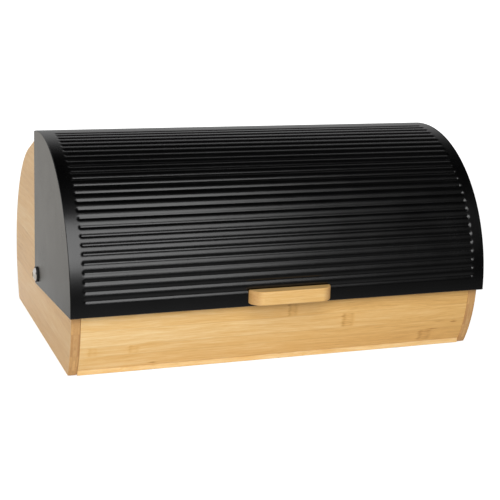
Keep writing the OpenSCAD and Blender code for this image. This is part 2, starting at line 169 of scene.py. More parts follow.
class Value:
    """A socket that takes part in sums: every operator adds its Math node."""

    def __init__(self, nodes, socket):
        self.nodes = nodes
        self.socket = socket

    def maths(self, operation, *others):
        return self.nodes.add("ShaderNodeMath", {"operation": operation}, self, *others)

    def __add__(self, other):
        return self.maths("ADD", other)

    __radd__ = __add__

    def __mul__(self, other):
        return self.maths("MULTIPLY", other)

    def __sub__(self, other):
        return self.maths("SUBTRACT", other)

    def __rsub__(self, other):
        return self.nodes.add("ShaderNodeMath", {"operation": "SUBTRACT"}, other, self)

    def __truediv__(self, other):
        return self.maths("DIVIDE", other)

    def __abs__(self):
        return self.maths("ABSOLUTE")

    def __gt__(self, other):
        return self.maths("GREATER_THAN", other)

    def floor(self):
        return self.maths("FLOOR")

    def part(self):
        return self.maths("FRACT")

    def most(self, other):
        return self.maths("MAXIMUM", other)

    def step(self, start, end):
        """0 at start, 1 at end, smooth between them and flat outside."""
        return self.nodes.add(
            "ShaderNodeMapRange", {"interpolation_type": "SMOOTHSTEP"}, self, start, end, 0.0, 1.0
        )


class Nodes:
    """The node tree of one material or world, made by calls."""

    def __init__(self, owner):
        owner.use_nodes = True
        self.tree = owner.node_tree
        self.tree.nodes.clear()

    def add(self, kind, settings, *inputs, out=0, **named):
        """Adds a node of a type, sets it, then links or fills its sockets in order or by name."""
        node = self.tree.nodes.new(kind)
        for key, value in settings.items():
            setattr(node, key, value)
        wanted = list(enumerate(inputs))
        wanted += [(key.replace("_", " "), value) for key, value in named.items()]
        for key, value in wanted:
            if isinstance(value, Value):
                self.tree.links.new(value.socket, node.inputs[key])
            elif value is not None:
                node.inputs[key].default_value = value
        return Value(self, node.outputs[out]) if node.outputs else node

    def place(self):
        """The point on the piece, in metres, as three values."""
        point = self.add("ShaderNodeTexCoord", {}, out="Object")
        return self.split(point)

    def facing(self):
        """The piece's own normal as three values."""
        return self.split(self.add("ShaderNodeTexCoord", {}, out="Normal"))

    def split(self, vector):
        node = self.tree.nodes.new("ShaderNodeSeparateXYZ")
        self.tree.links.new(vector.socket, node.inputs[0])
        return [Value(self, socket) for socket in node.outputs]

    def vector(self, x, y, z):
        return self.add("ShaderNodeCombineXYZ", {}, x, y, z)

    def noise(self, vector, scale=1.0, detail=2.0, roughness=0.5):
        return self.add(
            "ShaderNodeTexNoise",
            {},
            out="Fac",
            Vector=vector,
            Scale=scale,
            Detail=detail,
            Roughness=roughness,
        )

    def chance(self, value):
        """One random number from 0 to 1 for each whole number."""
        return self.add("ShaderNodeTexWhiteNoise", {"noise_dimensions": "1D"}, W=value)

    def mix(self, share, a, b):
        """Colour a where share is 0, colour b where it is 1."""
        return self.add(
            "ShaderNodeMix",
            {"data_type": "RGBA", "clamp_factor": True},
            share,
            None,
            None,
            None,
            None,
            None,
            rgba(a),
            rgba(b),
            out=2,
        )

    def bump(self, height, depth, strength=1.0):
        return self.add(
            "ShaderNodeBump", {}, Strength=strength, Distance=depth, Height=height
        )

    def surface(self, **named):
        """The closing shader, linked to the output."""
        shader = self.add("ShaderNodeBsdfPrincipled", {}, **named)
        self.add("ShaderNodeOutputMaterial", {}, shader)


def rgba(tone):
    """A colour with its alpha, or a socket as it is."""
    return tone if isinstance(tone, Value) or tone is None else (*tone, 1.0)


# ---------- finishes ----------


def finish_named(name):
    return Nodes(bpy.data.materials.new(name)), bpy.data.materials[name]


def bamboo(
    name,
    tones,
    along,
    across,
    strips,
    depth=0.25,
    painted_falloff=0.0,
    contrast=1.0,
    glare_veil=0.0,
    knuckles=(),
    flecks=(),
    plies=None,
):
    """Laminated strips of bamboo. along and across are axis numbers of grain and strips.

    strips is either one width, and each strip then has a tone near depth, or pairs of
    (seam, change of tone above it), and depth is then the tone of the lowest strip. Tones
    run from 0, light, to 1, dark. painted_falloff is the change of tone per metre along,
    for pairs only: painted shade that darkens the board towards the right, where the light
    falls off. contrast scales the grain. glare_veil is the share of a pink veil, painted
    glare of grazing light. knuckles are (along, from, to, width, strength) of the marks
    where the cane had a joint, flecks are (along, across, length) of dark dashes. plies is
    the first and last x of a board of three layers.
    """
    nodes, material = finish_named(name)
    place = nodes.place()
    facing = nodes.facing()
    other = 3 - along - across
    a, c, d = place[along], place[across], place[other]
    if isinstance(strips, float):
        row = (c / strips).floor()
        seam = abs((c / strips).part() - 0.5).step(0.475, 0.495)
        tone = nodes.chance(row) * 0.3 + depth - 0.15
    else:
        # Painted shade: the tone darkens along the board, towards the right, as the light falls off.
        row, tone, seam = c * 0, a * painted_falloff + depth, c * 0
        for height, change in strips:
            row = row + (c > height)
            tone = tone + (c - height).step(-0.0002, 0.0002) * change
            seam = seam.most(1 - abs(c - height).step(0.0, SEAM))
    slide = nodes.chance(row + 7.3) * 9
    bend = nodes.noise(nodes.vector(a * 7 + slide, c * 24, d * 24), detail=1.0) * 0.012
    run = c + bend
    broad = nodes.noise(nodes.vector(a * 13 + slide, run * 240, d * 120), detail=2.0) - 0.5
    streak = nodes.noise(nodes.vector(a * 38 + slide, run * 950, d * 480), detail=2.0) - 0.5
    fibre = nodes.noise(nodes.vector(a * 150 + slide, run * 3300, d * 1600), detail=1.0) - 0.5
    dash = nodes.noise(nodes.vector(a * 60 - slide, run * 1700, d * 900), detail=1.0)
    dash = dash.step(0.64, 0.74)
    grain = broad * 0.6 + streak * 0.78 + fibre * 0.36 + dash * 0.26
    tone = tone + grain * contrast
    for at, low_end, high_end, width, strength in knuckles:
        off = (a - at + streak * width * 0.5) / width
        here = (c - low_end).step(0.0, 0.0015) * (1 - (c - high_end).step(-0.0015, 0.0))
        rim = (1 - abs(abs(off) - 0.36).step(0.0, 0.26)) * (0.7 - off) * 0.3
        heart = 1 - abs(off).step(0.25, 0.65)
        ticks = nodes.noise(nodes.vector(a * 60, c * 1300, d * 700), detail=1.0).step(0.42, 0.62)
        tone = tone + here * (rim + heart * (ticks * 0.26 + 0.08)) * strength
    for at, over, long in flecks:
        far = abs(a - at) / long + abs(run - over - 0.006 + streak * 0.002) * 650
        tone = tone + (1 - far.step(0.2, 1.0)) * 0.8
    wood = nodes.mix(tone.step(-0.4, 0.5), tones.wood_light, tones.wood_middle)
    wood = nodes.mix(tone.step(0.3, 1.15), wood, tones.wood_dark)
    wood = nodes.mix(seam * 0.24, wood, tones.wood_dark)
    # Painted glare: a pink veil over the wood stands for the pale glare of grazing light.
    if glare_veil:
        wood = nodes.mix(glare_veil, wood, tones.wood_glare)
    ends = abs(facing[along]).step(0.05, 0.7)
    if plies:
        layer = (abs(place[0]) - plies[0]) / (plies[1] - plies[0])
        cross = layer.step(0.25, 0.37) * (1 - layer.step(0.63, 0.75))
        patch = nodes.chance((c / BLOCK_WIDTH + cross * 0.4).floor() + cross * 3) * 0.45
        pores = nodes.noise(nodes.vector(a * 900, c * 60 + cross * 20, place[0] * 1100), detail=2.0)
        wood = nodes.mix(ends * (0.2 + patch + pores * 0.5 - cross * 0.16), wood, tones.wood_end)
        side = 1 - abs(facing[0]).step(0.5, 0.8)
        joint = 1 - abs(abs(layer - 0.5) - 0.19).step(0.0, 0.03)
        wood = nodes.mix(side * joint * 0.25, wood, tones.wood_dark)
    else:
        pores = nodes.noise(nodes.vector(a * 60, c * 1100, d * 1100), detail=2.0)
        wood = nodes.mix(ends * (0.25 + pores * 0.6), wood, tones.wood_end)
    nodes.surface(
        Base_Color=wood,
        Roughness=0.33 + streak * 0.2,
        Specular_IOR_Level=0.5,
        Normal=nodes.bump(streak + fibre * 0.8 - seam * 0.4, 0.00006, 0.4),
    )
    return material


def powder_coat(name, tone):
    """Satin powder coat: a faint orange peel and a little unevenness in its gloss."""
    nodes, material = finish_named(name)
    point = nodes.vector(*nodes.place())
    peel = nodes.noise(point, scale=900.0, detail=2.0)
    cloud = nodes.noise(point, scale=45.0, detail=3.0)
    grit = nodes.noise(point, scale=5200.0, detail=1.0)
    shade = nodes.mix(cloud.step(0.3, 0.7) * 0.5, tone, [x * 1.6 for x in tone])
    nodes.surface(
        Base_Color=shade,
        Roughness=0.2 + cloud * 0.07 + grit * 0.04,
        Specular_IOR_Level=0.6,
        Normal=nodes.bump(peel + grit * 0.25, 0.00002, 0.35),
    )
    return material


def metal(name, tone, roughness, grain):
    """Plated or polished steel with fine turning marks around its own axis."""
    nodes, material = finish_named(name)
    x, y, z = nodes.place()
    marks = nodes.noise(nodes.vector(x * 3000, y * 500, z * 500), detail=2.0)
    cloud = nodes.noise(nodes.vector(x, y, z), scale=260.0, detail=2.0)
    shade = nodes.mix(cloud.step(0.35, 0.75) * grain * 2.0, tone, [k * 0.72 for k in tone])
    nodes.surface(
        Base_Color=shade,
        Metallic=1.0,
        Roughness=roughness + marks * grain + cloud * grain * 0.5,
        Normal=nodes.bump(marks, 0.00001, grain),
    )
    return material


def moulded(name, tone, roughness, fleck):
    """Moulded nylon, rubber or silicone with a faintly mottled, slightly rough skin."""
    nodes, material = finish_named(name)
    point = nodes.vector(*nodes.place())
    skin = nodes.noise(point, scale=2600.0, detail=2.0)
    cloud = nodes.noise(point, scale=320.0, detail=2.0)
    shade = nodes.mix(cloud.step(0.3, 0.75) * fleck, tone, [k * 0.6 for k in tone])
    nodes.surface(
        Base_Color=shade,
        Roughness=roughness + skin * 0.12,
        Specular_IOR_Level=0.4,
        Normal=nodes.bump(skin, 0.00002, 0.4),
    )
    return material


# ---------- modelling ----------


def begin():
    """Back to object mode with nothing selected, so that an operator meets only its piece."""
    if bpy.context.object and bpy.context.object.mode != "OBJECT":
        bpy.ops.object.mode_set(mode="OBJECT")
    bpy.ops.object.select_all(action="DESELECT")


def named(name):
    """Names the new primitive, moves its place into its mesh and opens it for editing."""
    part = bpy.context.object
    part.name = part.data.name = name
    bpy.ops.object.transform_apply(location=True, rotation=True, scale=True)
    bpy.ops.object.mode_set(mode="EDIT")
    return part


def disc(name, x, middle, radius, points=144):
    """A flat round face square to X, open for editing. middle is its (y, z)."""
    begin()
    bpy.ops.mesh.primitive_circle_add(
        vertices=points,
        radius=radius,
        fill_type="NGON",
        location=(x, *middle),
        rotation=(0, math.pi / 2, 0),
    )
    return named(name)


def block(name, lowest, highest):
    """A cuboid between two corners, open for editing."""
    begin()
    middle = (Vector(lowest) + Vector(highest)) / 2
    bpy.ops.mesh.primitive_cube_add(size=1, location=middle)
    bpy.context.object.scale = Vector(highest) - Vector(lowest)
    return named(name)


def rod(name, middle, radius, height, points=48):
    """An upright cylinder, open for editing. middle is the middle of its lower face."""
    begin()
    x, y, z = middle
    bpy.ops.mesh.primitive_cylinder_add(
        vertices=points, radius=radius, depth=height, location=(x, y, z + height / 2)
    )
    return named(name)


def pick(part, kind, test):
    """Selects just the vertices, edges or faces that pass the test."""
    bpy.ops.mesh.select_mode(type=kind)
    bpy.ops.mesh.select_all(action="DESELECT")
    shape = bmesh.from_edit_mesh(part.data)
    items = {"VERT": shape.verts, "EDGE": shape.edges, "FACE": shape.faces}[kind]
    for item in [item for item in items if test(item)]:
        item.select_set(True)
    shape.select_flush_mode()
    bmesh.update_edit_mesh(part.data)


def cut_off(point, normal):
    """Cuts the mesh with a plane and drops what lies on the side the normal points to."""
    bpy.ops.mesh.select_all(action="SELECT")
    bpy.ops.mesh.bisect(
        plane_co=(0, *point), plane_no=(0, *normal), use_fill=False, clear_outer=True
    )


def push(x):
    """Draws the flat face out along X into a solid."""
    bpy.ops.mesh.select_all(action="SELECT")
    bpy.ops.mesh.extrude_region_move(TRANSFORM_OT_translate={"value": (x, 0, 0)})


def round_corner(part, test, radius):
    """Rounds the corner points that pass the test to a radius, on a flat face."""
    pick(part, "VERT", test)
    shape = bmesh.from_edit_mesh(part.data)
    for corner in [v for v in shape.verts if v.select]:
        one, two = (edge.other_vert(corner).co - corner.co for edge in corner.link_edges)
        reach = radius / math.tan(one.angle(two) / 2)
        bpy.ops.mesh.bevel(offset=reach, segments=6, affect="VERTICES", clamp_overlap=False)
        break


def outwards():
    """Turns all faces to point outwards."""
    bpy.ops.mesh.select_all(action="SELECT")
    bpy.ops.mesh.normals_make_consistent(inside=False)


def soften(part, width, segments=3, above=50):
    """Rounds every edge sharper than an angle."""
    bpy.ops.object.mode_set(mode="OBJECT")
    bevel = part.modifiers.new("soft edges", "BEVEL")
    bevel.width = width
    bevel.segments = segments
    bevel.limit_method = "ANGLE"
    bevel.angle_limit = math.radians(above)
    bpy.ops.object.modifier_apply(modifier=bevel.name)


def thicken(part, thickness):
    """Gives a sheet its thickness, inwards from its outer face."""
    bpy.ops.object.mode_set(mode="OBJECT")
    wall = part.modifiers.new("wall", "SOLIDIFY")
    wall.thickness = thickness
    wall.offset = -1
    wall.use_even_offset = True
    bpy.ops.object.modifier_apply(modifier=wall.name)


def hand_over(part, body, slot, material, *nodes, smooth=35):
    """Smooths a finished piece, gives it its material and hangs it on its body."""
    begin()
    part.select_set(True)
    bpy.context.view_layer.objects.active = part
    bpy.ops.object.shade_smooth_by_angle(angle=math.radians(smooth))
    flat = part.modifiers.new("flat faces", "WEIGHTED_NORMAL")
    flat.keep_sharp = True
    bpy.ops.object.modifier_apply(modifier=flat.name)
    part.data.materials.clear()
    part.data.materials.append(material)
    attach(part, body)
    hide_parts(*nodes)
    begin()


# ---------- places on the rounds ----------


def lid_middle(sizes):
    """(y, z) of the middle of the lid's arc."""
    return Vector((low("lid_cover").y + sizes.lid_radius, high("lid_cover").z - sizes.lid_radius))


def panel_radius(sizes):
    return sizes.lid_radius - sizes.panel_gap


def rear_middle(sizes):
    """(y, z) of the middle of the side panels' rear round."""
    return Vector((high("left_side_panel").y - panel_radius(sizes), sizes.rear_round_z))


def front_of(middle, radius, z):
    """y of the front of a round at height z."""
    return middle[0] - math.sqrt(radius**2 - (middle[1] - z) ** 2)


def rear_edge(sizes):
    """A point on the lid's rear edge, and the way that edge faces."""
    lean = sizes.rear_lean
    return (sizes.heel_y, sizes.heel_z), (math.cos(lean), math.sin(lean))


def lower_edge(sizes):
    """A point on the cheek's lower edge, and the way that edge faces."""
    lip = low("lid_cover").z
    run = sizes.heel_y - front_of(lid_middle(sizes), sizes.lid_radius, lip)
    slope = math.atan2(lip - sizes.heel_z, run)
    return (sizes.heel_y, sizes.heel_z), (-math.sin(slope), -math.cos(slope))


# ---------- pieces ----------


def side_panel(sizes, side):
    """Two equal rounds joined by a flat, cut level below, its lower corners rounded."""
    name = "left_side_panel" if side < 0 else "right_side_panel"
    inner = side * high("front_board").x
    outer = side * abs(low("left_side_panel").x)
    front, rear = lid_middle(sizes), rear_middle(sizes)
    base = low(name).z
    radius = panel_radius(sizes)
    part = disc(name + "_wood", inner, front, radius)
    way = rear - front
    pick(part, "VERT", lambda v: (v.co.yz - front).dot(way) > 0)
    bpy.ops.transform.translate(value=(0, *way))
    cut_off((0, base), (0, -1))
    for end in SIDES:
        pick(part, "VERT", lambda v: False)
        shape = bmesh.from_edit_mesh(part.data)
        level = [v.co.y * end for v in shape.verts if v.co.z < base + HAIR]
        far = max(level) * end
        round_corner(
            part,
            lambda v: v.co.z < base + HAIR and abs(v.co.y - far) < HAIR,
            sizes.panel_corner,
        )
    push(outer - inner)
    outwards()
    soften(part, sizes.panel_edge)
    return part


def front_board(sizes):
    """Milled round outside, flat inside and leaning out."""
    middle = lid_middle(sizes)
    radius = panel_radius(sizes) - sizes.board_inset
    foot, head = low("front_board").z, high("front_board").z
    foot_y, head_y = front_of(middle, radius, foot), front_of(middle, radius, head)
    lean = math.atan2(foot_y - head_y, head - foot)
    skew = sizes.board / math.cos(lean)
    part = disc("front_board_wood", low("front_board").x, middle, radius, points=288)
    cut_off((0, foot), (0, -1))
    cut_off((0, head), (0, 1))
    cut_off((foot_y + skew, foot), (math.cos(lean), math.sin(lean)))
    push(high("front_board").x - low("front_board").x)
    outwards()
    soften(part, sizes.board_edge)
    return part


def floor_board(sizes):
    """A plain board; its ears lie hidden in the side panels' slots."""
    half = high("front_board").x
    lowest, highest = low("floor_board"), high("floor_board")
    part = block(
        "floor_board_wood", (-half, lowest.y, lowest.z), (half, highest.y, highest.z)
    )
    outwards()
    soften(part, sizes.board_edge)
    return part


def top_rail(sizes):
    """The rail under the lid that carries the back sheet's front edge."""
    lowest, highest = low("top_rail"), high("top_rail")
    radius = panel_radius(sizes) - sizes.back_sheet
    part = disc("top_rail_wood", lowest.x, lid_middle(sizes), radius, points=288)
    cut_off((0, lowest.z), (0, -1))
    cut_off((lowest.y, 0), (-1, 0))
    cut_off((highest.y, 0), (1, 0))
    push(highest.x - lowest.x)
    outwards()
    soften(part, sizes.board_edge)
    return part


def rear_batten(sizes):
    """The batten that the floor and the back sheet are screwed to."""
    lowest, highest = low("rear_batten"), high("rear_batten")
    radius = panel_radius(sizes) - sizes.back_sheet
    part = disc("rear_batten_wood", lowest.x, rear_middle(sizes), radius, points=288)
    cut_off((0, lowest.z), (0, -1))
    cut_off((0, highest.z), (0, 1))
    cut_off((lowest.y, 0), (-1, 0))
    push(highest.x - lowest.x)
    outwards()
    soften(part, sizes.board_edge)
    return part


def groove_profile(sizes):
    """Depth of a groove at a distance from its middle line, and the distances that shape it.

    A round bottom runs out into two wide, soft shoulders.
    """
    half, depth, bottom = sizes.groove_width / 2, sizes.groove_depth, sizes.groove_bottom
    slope = 2 * math.atan(depth / half)
    shoulder = half / math.sin(slope) - bottom
    turn = bottom * math.sin(slope)

    def height(off):
        if off < turn:
            return bottom - depth - math.sqrt(bottom**2 - off**2)
        if off < half:
            return math.sqrt(shoulder**2 - (half - off) ** 2) - shoulder
        return 0.0

    round_part = [turn * k / 3 for k in range(4)]
    soft_part = [half - shoulder * math.sin(slope * k / 6) for k in (5, 4, 3, 2, 1, 0)]
    return height, round_part + soft_part


def cover_rows(sizes):
    """The cover's run seen from the side: (point, outward way, distance from a groove)."""
    middle, radius = lid_middle(sizes), sizes.lid_radius
    lip, bend = low("lid_cover").z, sizes.lip_bend

    def on_arc(up, off=None):
        way = Vector((-math.cos(up), math.sin(up)))
        return middle + way * radius, way, off

    rows = []
    turn = Vector((front_of(middle, radius - bend, lip + bend), lip + bend))
    inner_end = front_of(middle, radius, lip) + sizes.flange
    for share in (0, 0.5, 1):
        y = inner_end + (turn.x - inner_end) * share
        rows.append((Vector((y, lip)), Vector((0, -1)), None))
    first = math.asin((turn.y - middle.y) / (radius - bend))
    for k in range(1, 6):
        aim = -math.pi / 2 + (-math.pi / 2 - first) * k / 6
        way = Vector((math.cos(aim), math.sin(aim)))
        rows.append((turn + way * bend, way, None))
    pitch = sizes.groove_step
    start = sizes.groove_first - pitch / 2
    for k in range(3):
        rows.append(on_arc(first + (start - first) * k / 3))
    _, reach = groove_profile(sizes)
    offs = [-radius * pitch / 2] + [-off for off in reversed(reach[1:])] + reach
    for n in range(sizes.groove_count):
        for off in offs:
            rows.append(on_arc(sizes.groove_first + n * pitch + off / radius, abs(off)))
    last = sizes.groove_first + (sizes.groove_count - 0.5) * pitch
    (heel, face), bend = rear_edge(sizes), sizes.rear_bend
    heel, face = Vector(heel), Vector(face)
    out = face.dot(heel - middle) - bend
    up = math.sqrt((radius - bend) ** 2 - out**2)
    turn = middle + face * out + Vector((-face.y, face.x)) * up
    end = math.pi - math.atan2(turn.y - middle.y, turn.x - middle.x)
    for k in range(11):
        rows.append(on_arc(last + (end - last) * k / 10))
    start, stop = math.pi - end, sizes.rear_lean
    for k in range(1, 7):
        aim = start + (stop - start) * k / 6
        way = Vector((math.cos(aim), math.sin(aim)))
        rows.append((turn + way * bend, way, None))
    down = Vector((face.y, -face.x))
    rows.append((turn + face * bend + down * (sizes.hem - bend), face, None))
    return rows


def lid_cover(sizes):
    """One sheet from hem to flange: a grid laid along the arc and pressed by its grooves.

    The press's profile places the points, because the grooves' round ends run out
    smoothly into the bent sheet. The outer arrises at the two ends are rounded wider.
    """
    height, reach = groove_profile(sizes)
    half = high("lid_cover").x
    centre = half - sizes.groove_border - sizes.groove_end
    stretch = sizes.groove_width / 2 / sizes.groove_end
    rim_end = half - sizes.rim
    flange_end = high("front_board").x - FLANGE_CLEAR
    xs = [centre + off / stretch for off in reach]
    xs += [flange_end, rim_end, *(half - inset for inset in END_ROWS), half]
    xs = sorted(set(round(x, 7) for x in xs))
    xs = [-x for x in reversed(xs)] + xs
    rows = cover_rows(sizes)
    begin()
    bpy.ops.mesh.primitive_grid_add(
        x_subdivisions=len(xs) - 1, y_subdivisions=len(rows) - 1, size=1
    )
    part = named("lid_cover_steel")
    shape = bmesh.from_edit_mesh(part.data)
    shape.verts.ensure_lookup_table()
    for v in shape.verts:
        column = v.index % len(xs)
        point, way, off = rows[v.index // len(xs)]
        x = xs[column]
        sink = 0.0
        if off is not None:
            sink = height(math.hypot(off, max(abs(x) - centre, 0) * stretch))
        v.co = (x, *(point + way * sink))
    bmesh.update_edit_mesh(part.data)
    middle, lip = lid_middle(sizes), low("lid_cover").z
    pick(
        part,
        "FACE",
        lambda f: f.calc_center_median().z < lip + HAIR
        and abs(f.calc_center_median().x) > flange_end,
    )
    bpy.ops.mesh.delete(type="FACE")
    hem_top = rows[-2][0].y
    pick(
        part,
        "FACE",
        lambda f: abs(f.calc_center_median().x) > rim_end
        and f.calc_center_median().y > middle.x
        and f.calc_center_median().z < hem_top,
    )
    bpy.ops.mesh.delete(type="FACE")
    pick(part, "FACE", lambda f: True)
    shape = bmesh.from_edit_mesh(part.data)
    one = max(shape.faces, key=lambda f: f.calc_center_median().z)
    if one.normal.z < 0:
        bpy.ops.mesh.flip_normals()
    thicken(part, sizes.sheet)
    bpy.ops.object.mode_set(mode="EDIT")
    pick(
        part,
        "EDGE",
        lambda e: all(
            abs(v.co.x) > half - HAIR
            and (v.co.yz - middle).length > sizes.lid_radius - HAIR
            for v in e.verts
        ),
    )
    bpy.ops.mesh.bevel(offset=sizes.end_round, segments=4, affect="EDGES")
    soften(part, sizes.steel_edge, segments=2, above=62)
    return part


def cheek(sizes, side):
    """The lid's side: a plate cut to the lid's wedge, with a rim turned in along its round."""
    name = "left_cheek" if side < 0 else "right_cheek"
    outer = side * high("lid_cover").x
    middle = lid_middle(sizes)
    radius = sizes.lid_radius - sizes.sheet
    part = disc(name + "_steel", outer, middle, radius, points=288)
    cut_off(*lower_edge(sizes))
    cut_off(*rear_edge(sizes))
    heel = Vector((sizes.heel_y, sizes.heel_z))
    round_corner(part, lambda v: (v.co.yz - heel).length < CORNER_SLACK, sizes.heel_round)
    shape = bmesh.from_edit_mesh(part.data)
    top = max((v.co.yz.copy() for v in shape.verts), key=lambda p: p.x + p.y)
    round_corner(part, lambda v: (v.co.yz - top).length < CORNER_SLACK, sizes.rear_bend)
    outwards()
    shape = bmesh.from_edit_mesh(part.data)
    if shape.faces[:][0].normal.x * side < 0:
        bpy.ops.mesh.flip_normals()
    pick(
        part,
        "EDGE",
        lambda e: all(abs((v.co.yz - middle).length - radius) < HAIR for v in e.verts),
    )
    bpy.ops.mesh.extrude_region_move(
        TRANSFORM_OT_translate={"value": (-side * sizes.rim, 0, 0)}
    )
    thicken(part, sizes.sheet)
    soften(part, sizes.steel_edge, segments=2, above=62)
    return part


def handle(sizes):
    """A wooden grip with two rounded front corners and soft arrises."""
    lowest, highest = low("handle").copy(), high("handle")
    back = low("lid_cover").y + sizes.sheet * HANDLE_SEAT
    part = block("handle_wood", lowest, (highest.x, lowest.y + 2 * sizes.handle_round, highest.z))
    pick(
        part,
        "EDGE",
        lambda e: all(v.co.y < lowest.y + HAIR for v in e.verts)
        and abs(e.verts[0].co.z - e.verts[1].co.z) > 1 * MM,
    )
    bpy.ops.mesh.bevel(offset=sizes.handle_round, segments=12, affect="EDGES")
    bpy.ops.mesh.select_all(action="SELECT")
    bpy.ops.mesh.bisect(
        plane_co=(0, back, 0), plane_no=(0, 1, 0), use_fill=True, clear_outer=True
    )
    outwards()
    soften(part, sizes.handle_edge, segments=4, above=60)
    return part


def domed_rod(name, node, height, edge):
    """A short upright cylinder in a solid's box, its upper or lower edge softened."""
    lowest, highest = low(node), high(node)
    middle = ((lowest.x + highest.x) / 2, (lowest.y + highest.y) / 2, lowest.z)
    part = rod(name, middle, (highest.x - lowest.x) / 2, height)
    outwards()
    soften(part, edge, segments=5)
    return part


# ---------- operators ----------


def finishes():
    """The materials by name, made once."""
    store = bpy.types.Scene.bread_box_finishes
    if store:
        return store
    tones = bpy.context.scene.bread_box_colours
    plies = (high("front_board").x, abs(low("left_side_panel").x))
    store["board"] = bamboo(
        "bamboo_board",
        tones,
        0,
        2,
        ((0.019, -0.04), (0.0285, -0.11), (0.0436, 0.13)),
        depth=0.35,
        # painted shade: the front board darkens towards the right, as the light falls off
        painted_falloff=1.1,
        knuckles=(
            (0.0075, 0.0436, 0.058, 0.009, 0.8),
            (0.063, 0.0285, 0.0436, 0.012, 1.0),
            (0.146, 0.0068, 0.019, 0.014, 0.9),
            (-0.173, 0.019, 0.0285, 0.008, 0.4),
            (-0.137, 0.019, 0.0285, 0.009, 0.5),
        ),
        flecks=((0.174, 0.0265, 0.006), (0.152, 0.0192, 0.012), (-0.118, 0.0068, 0.009)),
    )
    # the side panels carry a pink veil of painted glare
    store["panel"] = bamboo(
        "bamboo_panel", tones, 1, 2, 0.021, depth=0.38, contrast=0.7, glare_veil=0.12, plies=plies
    )
    store["handle"] = bamboo("bamboo_handle", tones, 0, 2, 0.04, depth=0.42)
    store["rail"] = bamboo("bamboo_rail", tones, 0, 1, 0.02, depth=0.35)
    store["floor"] = bamboo("bamboo_floor", tones, 0, 1, 0.02, depth=0.06)
    store["black"] = powder_coat("black_powder_coat", tones.black)
    store["chrome"] = metal("polished_chrome", tones.chrome, 0.06, 0.05)
    store["zinc"] = metal("zinc_plate", tones.zinc, 0.24, 0.2)
    store["black_nylon"] = moulded("black_nylon", tones.black_nylon, 0.4, 0.4)
    store["white_nylon"] = moulded("white_nylon", tones.white_nylon, 0.35, 0.12)
    store["silicone"] = moulded("milky_silicone", tones.silicone, 0.18, 0.1)
    store["rubber"] = moulded("grey_rubber", tones.rubber, 0.6, 0.4)
    return store


class BREADBOX_OT_side_panels(bpy.types.Operator):
    """Side panels with rounded outline, sanded arrises and three layers"""

    bl_idname = "bread_box.side_panels"
    bl_label = "Side Panels"

    def execute(self, context):
        sizes = context.scene.bread_box_sizes
        for side, node in zip(SIDES, ("left_side_panel", "right_side_panel")):
            hand_over(side_panel(sizes, side), "box", "bamboo", finishes()["panel"], node)
        return {"FINISHED"}


class BREADBOX_OT_boards(bpy.types.Operator):
    """Front board, floor, top rail and rear batten"""

    bl_idname = "bread_box.boards"
    bl_label = "Boards"

    def execute(self, context):
        sizes = context.scene.bread_box_sizes
        kinds = finishes()
        hand_over(front_board(sizes), "box", "bamboo", kinds["board"], "front_board")
        hand_over(floor_board(sizes), "box", "bamboo", kinds["floor"], "floor_board")
        hand_over(top_rail(sizes), "box", "bamboo", kinds["rail"], "top_rail")
        hand_over(rear_batten(sizes), "box", "bamboo", kinds["rail"], "rear_batten")
        return {"FINISHED"}


class BREADBOX_OT_lid_cover(bpy.types.Operator):
    """Cover of the lid, with pressed grooves, flange and hem"""

    bl_idname = "bread_box.lid_cover"
    bl_label = "Lid Cover"

    def execute(self, context):
        sizes = context.scene.bread_box_sizes
        part = lid_cover(sizes)
        hand_over(part, "lid", "black_steel", finishes()["black"], "lid_cover", smooth=55)
        return {"FINISHED"}


class BREADBOX_OT_cheeks(bpy.types.Operator):
    """Cheeks of the lid with their turned rims"""

    bl_idname = "bread_box.cheeks"
    bl_label = "Cheeks"

    def execute(self, context):
        sizes = context.scene.bread_box_sizes
        for side, node in zip(SIDES, ("left_cheek", "right_cheek")):
            hand_over(cheek(sizes, side), "lid", "black_steel", finishes()["black"], node)
        return {"FINISHED"}


class BREADBOX_OT_handle(bpy.types.Operator):
    """Wooden handle"""

    bl_idname = "bread_box.handle"
    bl_label = "Handle"

    def execute(self, context):
        sizes = context.scene.bread_box_sizes
        hand_over(handle(sizes), "lid", "bamboo", finishes()["handle"], "handle")
        return {"FINISHED"}


class BREADBOX_OT_pads(bpy.types.Operator):
    """Foot pads and the bumpers that the lid rests on"""

    bl_idname = "bread_box.pads"
    bl_label = "Pads and Bumpers"

    def execute(self, context):
        kinds = finishes()
        for node in ("front_left_pad", "front_right_pad", "rear_left_pad", "rear_right_pad"):
            tall = high(node).z - low(node).z
            part = domed_rod(node + "_rubber", node, tall, PAD_EDGE)
            hand_over(part, "box", "grey_rubber", kinds["rubber"], node)
        for node in ("left_bumper", "right_bumper"):
            tall = high(node).z - low(node).z
            part = domed_rod(node + "_silicone", node, tall, BUMPER_EDGE)
            hand_over(part, "box", "clear_silicone", kinds["silicone"], node)
        return {"FINISHED"}


class BREADBOX_OT_fittings(bpy.types.Operator):
    """Finishes of the solids that keep their shape: screws, washers, nuts and the back"""

    bl_idname = "bread_box.fittings"
    bl_label = "Fittings"

    def execute(self, context):
        kinds = finishes()
        finish_of = {
            "back_sheet": "black",
            "front_dowels": "rail",
            "rail_dowels": "rail",
            "floor_screws": "zinc",
            "back_sheet_screws": "zinc",
            "handle_screws": "zinc",
            "handle_washers": "zinc",
        }
        for side in ("left", "right"):
            finish_of[side + "_pivot_screw"] = "chrome"
            finish_of[side + "_cap_nut"] = "chrome"
            finish_of[side + "_outer_washer"] = "black_nylon"
            finish_of[side + "_inner_washer"] = "white_nylon"
            finish_of[side + "_nut_washer"] = "zinc"
        for node, kind in finish_of.items():
            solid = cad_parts[node]
            if not solid.material_slots:
                raise RuntimeError(node + " has no material slot")
            for place in solid.material_slots:
                place.material = kinds[kind]
        return {"FINISHED"}


